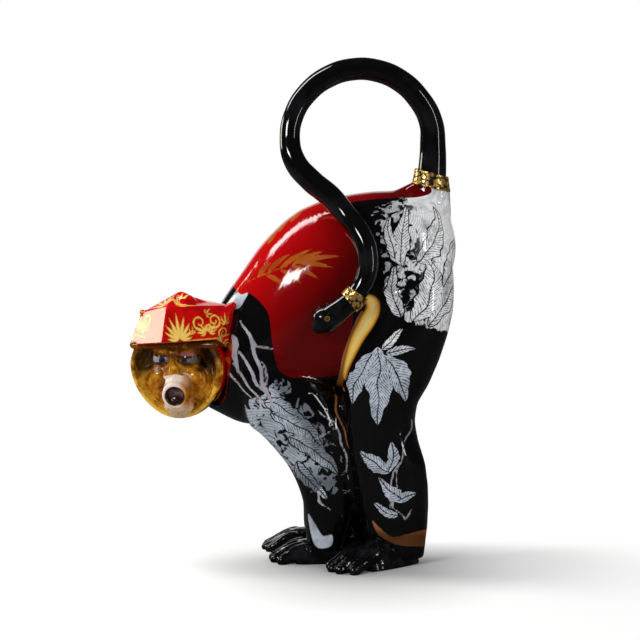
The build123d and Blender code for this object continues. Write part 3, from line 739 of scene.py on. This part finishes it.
# Painted shade: the saddle's red deepens towards its lower right.
saddle_red = ink["red_shade"].paint(red_glaze, shaded_red)
laurel_in = (ink["laurel"] + (grain - 0.5) * 0.9).below(0, 0.4)
laurelled = (laurel_in * 0.8).paint(saddle_red, uneven.paint(dark_laurel, laurel_gold))
saddle_in = ink["saddle"].below(0, 0.35)
with_saddle = saddle_in.paint(fold_in.paint(stranded, fold_tone), laurelled)
gold_gap = ink["gold"]
gold_in = gold_gap.below(0, 0.3)
# The crescent is painted as a lit roll: a painted highlight along its middle and painted shade at
# its edges.
gold_tone = gold_gap.below(-1.2, 2).paint(shaded_gold_edge, gilding)
gold_tone = gold_gap.below(-3.6, 2.4).paint(gold_tone, gold_highlight)
ink.feed("Base Color", gold_in.paint(with_saddle, gold_tone))
ink.feed("Metallic", gold_in * 0.1)
ink.feed("Roughness", 0.07 + gold_in * 0.18)
glaze(body, body_material)
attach(body, "root")
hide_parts("torso", "left_arm", "right_arm", "left_hind_leg", "right_hind_leg")

# Hands and feet: four solid castings, black glaze with a gloss and small dents, each finger a
# rounded roll with a raised knuckle. Their soles are cut flat at the floor.
paw_material, paw_wire = new_material("hand_glaze")
paw_cloud = paw_wire.noise(90, 3)
paw_black = (0.012, 0.012, 0.014, 1)
paw_wire.feed("Base Color", paw_cloud.over(0.6, 0.2).paint(black_glaze, paw_black))
paw_wire.feed("Roughness", 0.07 + paw_cloud * 0.05)
paw_dents = paw_wire.noise(210, 1)
paw_wire.feed("Normal", paw_dents.bump(0.7, 0.9 * MM))
knuckle_back, knuckle_run, knuckle_lift, paw_height = 15, 8.5, 3, 12
for name in ("left_hand", "right_hand", "left_foot", "right_foot"):
    paw = cast_of(name + "_skin", name)
    fill(paw, 0.6, 1.7, -0.5)
    soften(paw, 10)
    places, _ = corners_of(paw)
    knuckle = places[:, 0].min() + knuckle_back
    lift = knuckle_lift * np.exp(-((places[:, 0] - knuckle) / knuckle_run) ** 2)
    places[:, 2] += lift * np.clip(places[:, 2] / paw_height, 0, 1)
    move_corners(paw, places)
    trim(paw, (0, 0, 0), (0, 0, 1), above=False)
    glaze(paw, paw_material)
    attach(paw, "root")
    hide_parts(name)

# Head: a hollow casting that opens forward in a round hood, mottled mustard inside. Outside,
# it is red above and black below. A thin band crosses it under the cap's front edge.
head_middle, head_turn, head_nod = Vector((-75.76, -12, 134.08)), -14, 5
head_place = Matrix.Translation(head_middle * MM) @ (
    Matrix.Rotation(math.radians(head_turn), 4, "Z")
    @ Matrix.Rotation(math.radians(head_nod), 4, "X")
)
to_head = np.array(head_place.inverted())


def head_corners(piece):
    """The piece's vertices in the head's own frame, in millimetres; the face looks along -y."""
    places, normals = corners_of(piece)
    return places @ to_head[:3, :3].T + to_head[:3, 3] / MM, normals @ to_head[:3, :3].T


def set_on_head(*masses):
    """Moves masses made in the head's own frame to their place on the figure."""
    for mass in masses:
        mass.data.transform(head_place)
        mass.data.update()
    return masses


head = cast_of("head_skin", "head_shell")
band = roll((-28.5, -18.5, 18), (29.5, -18.5, 19.8), 2.7, 2.7, 30)
join(head, *set_on_head(*band))
reskin(head, 0.8)
soften(head, 10)
local, turned_out = head_corners(head)
chin_pinch, chin_shift = 0.13, 1.2
drop = np.clip((6 - local[:, 2]) / 40, 0, 1)
local[:, 0] = local[:, 0] * (1 - chin_pinch * drop) + chin_shift * drop
move_corners(head, local)
set_on_head(head)
right, forward, up = local.T
rim_radius, rim_front, back_front = 31.2, -12.5, -8
on_rim = (np.hypot(right, up) > rim_radius) & (forward > rim_front)
on_back = (turned_out[:, 1] > 0.1) & (forward > back_front)
store(head, "hood", np.where(on_rim | on_back, 1, 0))
store(head, "deep", forward)
store(head, "up", up)
store(head, "left", np.clip(-right / 30, -1, 1))
store(head, "hollow", np.hypot(np.abs(right) - 23.5, (up - 6) * 0.7))
hood_material, hood = new_material("ruff_glaze")
hood_cloud = hood.noise(120, 5, roughness=0.65)
# The mustard is painted lighter at the rim and towards the left, as painted light, lighter low
# down, and darker at the top, as painted shade under the cap's brim.
rim_light = hood["deep"].below(-13.5, 5)
low, high = hood["up"].below(-14, 12), hood["up"].over(10, 14)
mottling = hood_cloud * 1.4 - 0.2 + rim_light * 0.12 + hood["left"] * 0.07
mottling = mottling + low * 0.10 - high * 0.34
mustard = mottling.mottle(
    (0.10, 0.022, 0.002, 1), (0.40, 0.13, 0.006, 1), (0.86, 0.50, 0.05, 1)
)
# Painted shade: dark patches in the hood's hollows at eye level, beside the face.
eye_level_shade = hood["hollow"].below(7, 5)
mustard = (eye_level_shade * 0.9).paint(mustard, recess_shade)
hood_back = hood["hood"].over(0.5, 0.6)
hood_red = hood["up"].over(-16, 5).paint(black_glaze, red_glaze)
hood.feed("Base Color", hood_back.paint(mustard, hood_red))
glaze(head, hood_material)
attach(head, "root")
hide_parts("head_shell")

# Face: one casting set in the hood, with heavy brows, lidded sockets, a broad nose, a round
# open mouth and a chin. Mottled mustard glaze, a pale pink muzzle and a speckled chin.
eye_places = ((-9.6, -14.2, 8.6), (9, -14.2, 8.9))


def carve(piece, *cutters):
    """Takes masses of clay out of a piece."""
    for cutter in cutters:
        work(piece, "BOOLEAN", operation="DIFFERENCE", solver="EXACT", object=cutter)
        bpy.data.objects.remove(cutter)


# The masses of the face are placed in the head's own frame.
face = lump((0, -6, -2), (20, 13.5, 21))
jaw = lump((1, -4, -11), (28.5, 13.5, 19.5))
cheeks = [
    lump((-11, -14, -5), (8.5, 7, 9), (0, 0, 20)),
    lump((12.5, -13.5, -5), (8.5, 7, 9), (0, 0, -20)),
]
forehead = lump((1, -12.5, 14), (17.5, 7.5, 4.6))
chin = lump((2.2, -17.5, -22.5), (10.5, 8, 9.5))
lower_lip = lump((4, -25.5, -18.5), (8.2, 7.5, 8.5))
upper_lip = lump((4.2, -24, -6), (8.8, 8.5, 6.5))
brows = roll((-1, -19.2, 13.4), (-16, -14, 15.6), 2.5, 2)
brows += roll((1.6, -19.2, 13.4), (16.5, -13.5, 16), 2.5, 2)
nose = roll((0.2, -18, 12), (1.6, -24.5, 1.2), 2.3, 4.2)
nose += roll((-3, -25.5, -0.6), (-3.4, -26, -1.2), 2.3, 2.3, 2)
nose += roll((6.4, -25.5, -0.6), (6.8, -26, -1.2), 2.3, 2.3, 2)
join(face, jaw, *cheeks, forehead, chin, lower_lip, upper_lip, *brows, *nose)
reskin(face, 0.6)
soften(face, 5)
sockets = [lump((x * 1.04, y - 8, z), (8, 8.4, 5.2)) for x, y, z in eye_places]
temples = [lump((x, -16, z), (4.8, 8, 6)) for x, z in ((-22, 5), (21.5, 5.5))]
nostrils = [lump((x, -32.3, 0.2), (1.3, 2.6, 0.9)) for x in (-1.2, 5.2)]
carve(face, *sockets, *temples, *nostrils)

muzzle_root, muzzle_tip = Vector((2.2, -10, -10)), Vector((5.3, -35.6, -12.8))
muzzle_axis = (muzzle_tip - muzzle_root).normalized()
bpy.ops.mesh.primitive_cone_add(
    vertices=64, radius1=11.5 * MM, radius2=8.8 * MM,
    depth=(muzzle_tip - muzzle_root).length * MM, location=(muzzle_root + muzzle_tip) / 2 * MM,
    rotation=muzzle_axis.to_track_quat("Z", "Y").to_euler(),
)
muzzle = bpy.context.active_object
bpy.ops.object.transform_apply()
bpy.ops.object.mode_set(mode="EDIT")
bpy.ops.mesh.select_mode(type="FACE")
bpy.ops.mesh.select_all(action="DESELECT")
bpy.ops.object.mode_set(mode="OBJECT")
max(muzzle.data.polygons, key=lambda side: side.center.dot(muzzle_axis)).select = True
bpy.ops.object.mode_set(mode="EDIT")
lip_width = 2.9
bpy.ops.mesh.inset(thickness=lip_width * MM, depth=0)
for sink, shrink in ((7, 0.72), (2.5, 0.5)):
    inward = tuple(-muzzle_axis * sink * MM)
    bpy.ops.mesh.extrude_region_move(TRANSFORM_OT_translate={"value": inward})
    bpy.ops.transform.resize(value=(shrink, shrink, shrink))
bpy.ops.object.mode_set(mode="OBJECT")
work(
    muzzle, "BEVEL", width=1.7 * MM, segments=4, limit_method="ANGLE", angle_limit=math.radians(50)
)

lids = []
for x, y, z in eye_places:
    side = math.copysign(1, x)
    open_height, lean = (3.4, 0.10) if x < 0 else (2.4, 0.16)
    upper = lump((x, y, z), (7.3, 6.9, 6.6))
    trim(upper, (x, y, z + open_height), (-side * lean, -0.25, 1), above=False)
    lower = lump((x, y, z), (7.3, 6.9, 6.6))
    trim(lower, (x, y, z - 3), (side * 0.06, 0.25, 1))
    lids += [upper, lower]
join(face, muzzle, *lids)
face.name = "face_skin"
reskin(face, 0.42)
soften(face, 10)
set_on_head(face)

local, _ = head_corners(face)
right, forward, up = local.T
muzzle_start, muzzle_way = np.array(muzzle_root), np.array(muzzle_axis)
along = (local - muzzle_start) @ muzzle_way
radial = np.linalg.norm(local - muzzle_start - np.outer(along, muzzle_way), axis=1)
middle = 3 + 0.06 * (up + 12) - 0.06 * np.maximum(-up - 20, 0)
half_strip = 8.6 + 0.35 * np.maximum(-up - 21, 0)
strip = np.abs(right - middle) - half_strip + 5 * np.maximum(up + 1, 0)
store(face, "muzzle", np.where(forward < -14, strip, bare_gap))
store(face, "mouth", np.where(along > 12, radial, 20))
store(face, "along", along)
socket_shape = (0.7, 0.3, 1)
socket = np.min([
    np.linalg.norm((local - np.array(place)) * socket_shape, axis=1) for place in eye_places
], axis=0)
store(face, "socket", socket)
store(face, "hollow", np.minimum(
    np.hypot(right + 21.5, up - 5.5), np.hypot(right - 21, up - 6)
))
store(face, "low", up + 0.03 * (right - 2) ** 2)
store(face, "lid", np.where((right > 3) & (up > 11.8), socket, bare_gap))
store(face, "pouch", np.hypot(right + 9.5, (up - 2.2) * 2.2))
store(face, "side", right)
face_material, skin = new_material("face_glaze")
skin_cloud = skin.noise(150, 5, roughness=0.65)
# The face's mustard is painted darker towards the top, as painted shade under the cap's brim.
skin_brown = (skin_cloud - skin["low"].over(12, 14) * 0.12).mottle(
    (0.10, 0.024, 0.003, 1), (0.42, 0.14, 0.007, 1), (0.76, 0.40, 0.03, 1)
)
# Painted shade: the hollows beside the face and the eye sockets are painted dark.
hollow_shade_in = skin["hollow"].below(5.6, 3)
socket_in = skin["socket"].below(4.6, 1.6)
shaded = hollow_shade_in.most(socket_in * 0.8).paint(skin_brown, recess_shade)
lid_pink = (0.42, 0.15, 0.17, 1)
lid_in = skin["lid"].below(5.4, 0.8)
shaded = (lid_in * 0.8).paint(shaded, lid_pink)
pouch_grey = (0.46, 0.42, 0.36, 1)
pouch_in = skin["pouch"].below(5.5, 2.5) * skin_cloud.over(0.5, 0.08)
shaded = (pouch_in * 0.8).paint(shaded, pouch_grey)
chin_pink, chin_brown = (0.66, 0.44, 0.26, 1), (0.24, 0.08, 0.03, 1)
chin_in = skin["low"].below(-18.5, 4) * skin["muzzle"].below(3, 4)
speckles = skin.cells(700).below(0.30, 0.1) * skin_cloud.over(0.42, 0.1)
chinned = chin_in.paint(shaded, speckles.paint(chin_pink, chin_brown))
muzzle_pink, muzzle_shade = (0.86, 0.70, 0.60, 1), (0.66, 0.34, 0.16, 1)
muzzle_blush = (0.60, 0.36, 0.28, 1)
muzzle_in = (skin["muzzle"] + (skin_cloud - 0.5) * 5).below(0, 2.2)
muzzle_in = muzzle_in * skin["low"].over(-21, 5)
# The muzzle's right side is painted brown as shade.
muzzle_tone = skin["side"].over(9, 3).paint(muzzle_pink, muzzle_shade)
muzzle_tone = skin_cloud.over(0.64, 0.2).paint(muzzle_tone, muzzle_blush)
mouth_shade, mouth_reflection = (0.030, 0.010, 0.008, 1), (0.34, 0.20, 0.20, 1)
lip_dark = (0.035, 0.012, 0.008, 1)
# Painted shade darkens the mouth inside its opening, and a paler painted reflection lies at the
# back of it.
inside = skin["along"].below(20.5, 3).paint(mouth_shade, mouth_reflection)
inside = skin["mouth"].over(5.6, 0.5).paint(inside, lip_dark)
mouth_in = skin["mouth"].below(6.9, 0.5)
muzzled = muzzle_in.paint(chinned, muzzle_tone)
skin.feed("Base Color", mouth_in.paint(muzzled, inside))
glaze(face, face_material)
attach(face, "root")
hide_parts("face_mask", "muzzle")

# Eyes: two small balls under the lids, white glaze with a dark blue iris and a black pupil.
# The left one is darker, because it lies in the shade of its lid.
eye_material, gaze = new_material("eye_glaze", roughness=0.04)
ring = gaze["iris"]
iris_blue, pupil_black = (0.02, 0.022, 0.12, 1), (0.003, 0.003, 0.004, 1)
eye_white, eye_grey = (0.56, 0.56, 0.60, 1), (0.30, 0.26, 0.24, 1)
eye_shade = (0.05, 0.04, 0.025, 1)
iris = ring.below(0.9, 0.25).paint(iris_blue, pupil_black)
eye_cloud = gaze.noise(300, 3)
white = eye_cloud.over(0.46, 0.3).paint(eye_white, eye_grey)
white = (gaze["shade"] * 0.75).paint(white, eye_shade)
gaze.feed("Base Color", ring.below(2.2, 0.35).paint(white, iris))
for name, place, inward in (("right_eye", eye_places[0], 1.6), ("left_eye", eye_places[1], -1.2)):
    eye = lump(place, (6.4, 6.2, 6))
    eye.name = name + "_ball"
    reskin(eye, 0.35)
    soften(eye, 5)
    set_on_head(eye)
    local, _ = head_corners(eye)
    right, forward, up = local.T
    back = np.where(forward > place[1], bare_gap, 0)
    store(eye, "iris", np.hypot(right - place[0] - inward, up - place[2] + 0.3) + back)
    store(eye, "shade", np.clip(right / 4, 0, 1))
    glaze(eye, eye_material)
    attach(eye, "root")
    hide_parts(name)

# Cap: a solid casting of flat facets over the hood, in red glaze, its edges eased by the
# glaze, two corners drawn up and its peak rounded. Gold palmettes and scrolls are drawn on
# its facets, and its underside is mustard, painted dark as shade under the brim.
cap = cast_of("cap_skin", "cap")
work(
    cap, "BEVEL", width=2.2 * MM, segments=3, limit_method="ANGLE", angle_limit=math.radians(12)
)
horns = roll((-22.5, -7, 35.5), (-25, -8.5, 39), 3.2, 1.9, 5)
horns += roll((33, -2, 39.5), (38, -2, 44), 4.5, 2.6, 5)
peak = roll((6, -7, 44), (2.5, -5, 49), 8, 4.4, 5)
join(cap, *set_on_head(*horns, *peak))
fill(cap, 0.5, 1.4, -1.4)
reskin(cap, 0.5)
soften(cap, 15)
local, turned_out = head_corners(cap)
right, forward, up = local.T
ridge_x, front_y, band_z = -0.8, -40, 24
across = np.abs(right - ridge_x) * 0.85 + (forward - front_y) * 0.53
rise = up - band_z


def palmette(u, v, base, heading, reach, half_width, fingers=7, spread=150):
    """A fan of slim leaves from one point; the middle one is the longest."""
    nearest = np.full(u.shape, bare_gap)
    for i in range(fingers):
        lean = (i / (fingers - 1) - 0.5) * spread
        length = reach * (1 - 0.45 * abs(lean) / (spread / 2))
        angle = math.radians(heading + lean)
        tip = (base[0] + length * math.cos(angle), base[1] + length * math.sin(angle))
        gap = leaf_outside(*leaf_frame(u, v, base, tip, lean * 0.012), half_width)
        nearest = np.minimum(nearest, gap)
    return nearest


def scroll(u, v, centre, first, last, start, turns, half_width):
    """A line that winds out from a centre."""
    reach = np.hypot(u - centre[0], v - centre[1])
    angle = np.degrees(np.arctan2(v - centre[1], u - centre[0])) - start
    angle = angle % 360 if turns > 0 else (-angle) % 360
    nearest = np.full(u.shape, bare_gap)
    for lap in range(int(abs(turns)) + 2):
        share = (angle + 360 * lap) / (360 * abs(turns))
        wound = np.minimum(share, 1)
        line = np.abs(reach - (first + (last - first) * wound))
        gap = line - half_width * (0.6 + 0.4 * wound)
        nearest = np.minimum(nearest, np.where(share <= 1, gap, bare_gap))
    return nearest


def gold_of(u, v, fans, scrolls):
    """How far places lie outside all of some fans and scrolls."""
    gaps = [palmette(u, v, *fan) for fan in fans] + [scroll(u, v, *line) for line in scrolls]
    return np.min(gaps, axis=0)


side_fans = [
    ((12.8, 2.2), 90, 16.5, 1.3, 9, 170), ((31.5, 4.6), 150, 9, 0.85, 5, 100),
    ((33.5, 4.6), 40, 8, 0.85, 5, 100), ((22, 4), 100, 7, 0.6, 4, 90),
    ((46, 8.5), 85, 8, 0.65, 5, 120), ((40, -3), 70, 6, 0.6, 5, 120),
    ((33.5, 16), 20, 6, 0.6, 4, 120),
]
side_scrolls = [
    ((28, 11), 1, 5.4, 200, 1.4, 0.85), ((38.5, 11.5), 1, 4.8, 20, -1.5, 0.85),
    ((44, 3), 0.8, 4.2, 60, 1.5, 0.6), ((47, -6), 0.8, 3.6, 200, -1.4, 0.6),
]
top_fans = [
    ((5, -18.5), 52, 17, 0.95, 9, 160), ((6, 10), 60, 13, 1),
]
top_scrolls = [
    ((24, 8), 1, 5, 0, 1.5, 0.7), ((15, 24), 1, 4.5, 90, -1.5, 0.7),
]
side_gold = gold_of(across, rise, side_fans, side_scrolls)
edge_line = np.maximum(np.abs(rise - 0.6) - 0.45, 17 - across)
side_gold = np.minimum(side_gold, edge_line)
top_gold = gold_of(np.abs(right), forward, top_fans, top_scrolls)
bare_front = (right < ridge_x) & (across < 23)
side_gold = np.where(bare_front, bare_gap, side_gold)
faces_up = turned_out[:, 2] > 0.72
store(cap, "gold", np.where(faces_up, top_gold, side_gold))
store(cap, "under", np.where(turned_out[:, 2] < -0.45, 1, 0))
cap_material, felt = new_material("cap_glaze")
cap_cloud = felt.noise(110, 3)
cap_grain = felt.noise(600, 3)
bright_red, dull_red = (0.62, 0.003, 0.004, 1), (0.40, 0.002, 0.003, 1)
line_edge, line_gold = (0.70, 0.26, 0.02, 1), (1, 0.66, 0.15, 1)
rim_red = (0.10, 0.004, 0.002, 1)
dark_mustard, light_mustard = (0.10, 0.05, 0.008, 1), (0.24, 0.13, 0.015, 1)
cap_mix = cap_cloud.over(0.5, 0.3)
gold_line = felt["gold"] + (cap_grain - 0.5) * 0.9
cap_gold = gold_line.below(0, 0.3)
gold_shade = gold_line.below(-0.45, 0.5).paint(line_edge, line_gold)
gold_rim = gold_line.below(0.35, 0.3) * 0.55
cap_red = gold_rim.paint(cap_mix.paint(bright_red, dull_red), rim_red)
painted = cap_gold.paint(cap_red, gold_shade)
below_brim = felt["under"].over(0.5, 0.5)
# Painted shade: the mustard underside is darkened as under the brim.
shaded_visor = cap_mix.paint(dark_mustard, light_mustard)
felt.feed("Base Color", below_brim.paint(painted, shaded_visor))
felt.feed("Metallic", cap_gold * (1 - below_brim) * 0.15)
felt.feed("Roughness", 0.07 + cap_gold * 0.18)
glaze(cap, cap_material)
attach(cap, "root")
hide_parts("cap")

# Tail: a rolled rod of clay that loops over the back and hooks down to the flank, in black
# glaze. Each place on its route has its own radius, because a rolled rod swells and thins.
tail_route = (
    (95.1, 0, 256, 10.3), (95.8, -0.1, 267.4, 9.9), (96.2, -0.4, 284.8, 9),
    (94.6, -1.1, 302, 8.3), (86.2, -2.5, 317.5, 7.94),
    (73.7, -4.1, 329.4, 7.83), (58, -6.1, 336.2, 7.75), (40.9, -8.3, 337.2, 7.66),
    (24.5, -10.9, 332.2, 7.58), (10.9, -13.8, 322, 7.3), (1.6, -16.5, 307.7, 7),
    (-1.6, -19.3, 291.1, 7), (1.8, -23.5, 275.4, 7.6), (12.6, -26.4, 262.6, 7.9),
    (26, -28.8, 251.6, 7.8), (36.2, -33.8, 240, 7.2), (45.8, -42.1, 228.3, 6.94),
    (50.9, -47.4, 212.8, 6.86), (48.3, -49.3, 195.9, 6.78), (38.2, -50.2, 182.1, 6.7),
)
rod = bpy.data.curves.new("tail_skin", "CURVE")
rod.dimensions = "3D"
rod.bevel_depth = MM
rod.bevel_resolution = 12
rod.use_fill_caps = True
run = rod.splines.new("BEZIER")
run.resolution_u = 10
run.bezier_points.add(len(tail_route) - 1)
for knot, (x, y, z, radius) in zip(run.bezier_points, tail_route):
    knot.co = Vector((x, y, z)) * MM
    knot.radius = radius
    knot.handle_left_type = knot.handle_right_type = "AUTO"
tail = bpy.data.objects.new("tail_skin", rod)
scene.collection.objects.link(tail)
pick(tail)
bpy.ops.object.convert(target="MESH")
tail = bpy.context.active_object
bpy.ops.object.mode_set(mode="EDIT")
bpy.ops.mesh.select_all(action="SELECT")
bpy.ops.mesh.remove_doubles(threshold=0.002 * MM)
bpy.ops.mesh.normals_make_consistent(inside=False)
bpy.ops.object.mode_set(mode="OBJECT")
tail_material, tail_wire = new_material("tail_glaze")
tail_cloud = tail_wire.noise(40, 2)
tail_wire.feed("Base Color", tail_cloud.over(0.6, 0.2).paint(black_glaze, soft_black))
tail_wire.feed("Roughness", 0.05 + tail_cloud * 0.04)
glaze(tail, tail_material)
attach(tail, "root")
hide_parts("tail")

# Bud: the blunt black end of the tail, a small solid casting with its tip drawn round and
# a gilt stud on its side.
bud = cast_of("bud_skin", "tail_bud")
bud_low, bud_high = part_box("tail_bud")
bud_tip = Vector((bud_low.x, (bud_low.y + bud_high.y) / 2, bud_low.z)) / MM
bud_tip += Vector((8, 0, 8.2))
bud_end = lump(bud_tip + Vector((0.8, 0, 0.6)), (8.6, 7.6, 8.2), (0, 42, 0))
join(bud, bud_end)
fill(bud, 0.5, 0.7)
reskin(bud, 0.5)
soften(bud, 20)
places, _ = corners_of(bud)
stud_place = bud_tip + Vector((2, 0, 2))
store(bud, "stud", np.hypot(places[:, 0] - stud_place.x, places[:, 2] - stud_place.z))
bud_material, bud_wire = new_material("bud_glaze")
stud = bud_wire["stud"].below(1.7, 0.3)
bud_cloud = bud_wire.noise(120, 2)
bud_tone = bud_cloud.over(0.6, 0.2).paint(black_glaze, soft_black)
bud_wire.feed("Base Color", stud.paint(bud_tone, gilding))
bud_wire.feed("Metallic", stud)
bud_wire.feed("Roughness", 0.06 + stud * 0.2)
glaze(bud, bud_material)
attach(bud, "root")
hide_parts("tail_bud")

# Collars: two relief bands round the tail, at its root and near its end, gilt in small scales
# with dark gaps. The one at the root is lower and wider, and leans with the tail.
collar_material, leafing = new_material("gilding", roughness=0.28)
collar_gap = leafing.cells(420).over(0.56, 0.08)
leaf_gold, gap_brown = (0.80, 0.48, 0.12, 1), (0.02, 0.010, 0.004, 1)
leafing.feed("Base Color", collar_gap.paint(leaf_gold, gap_brown))
leafing.feed("Metallic", 0.85 * (1 - collar_gap))
leafing.feed("Normal", (1 - collar_gap).bump(0.6, 0.6 * MM))
root_middle, root_shift = 93.9, 0.9
collar_top, collar_squeeze, collar_lean, collar_lift = 266, 0.74, 0.26, 0.6
for name in ("tail_root_collar", "tail_end_collar"):
    collar = cast_of(name + "_skin", name)
    reskin(collar, 0.4)
    soften(collar, 5)
    if name == "tail_root_collar":
        places, _ = corners_of(collar)
        ahead = places[:, 0] - root_middle
        places[:, 2] = collar_top - (collar_top - places[:, 2]) * collar_squeeze
        places[:, 2] -= ahead * collar_lean - collar_lift
        flare = 1.12 + 0.08 * np.clip((264 - places[:, 2]) / 12, 0, 1)
        places[:, 0] = root_middle + root_shift + ahead * flare
        places[:, 1] *= flare
        move_corners(collar, places)
    glaze(collar, collar_material)
    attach(collar, "root")
    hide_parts(name)
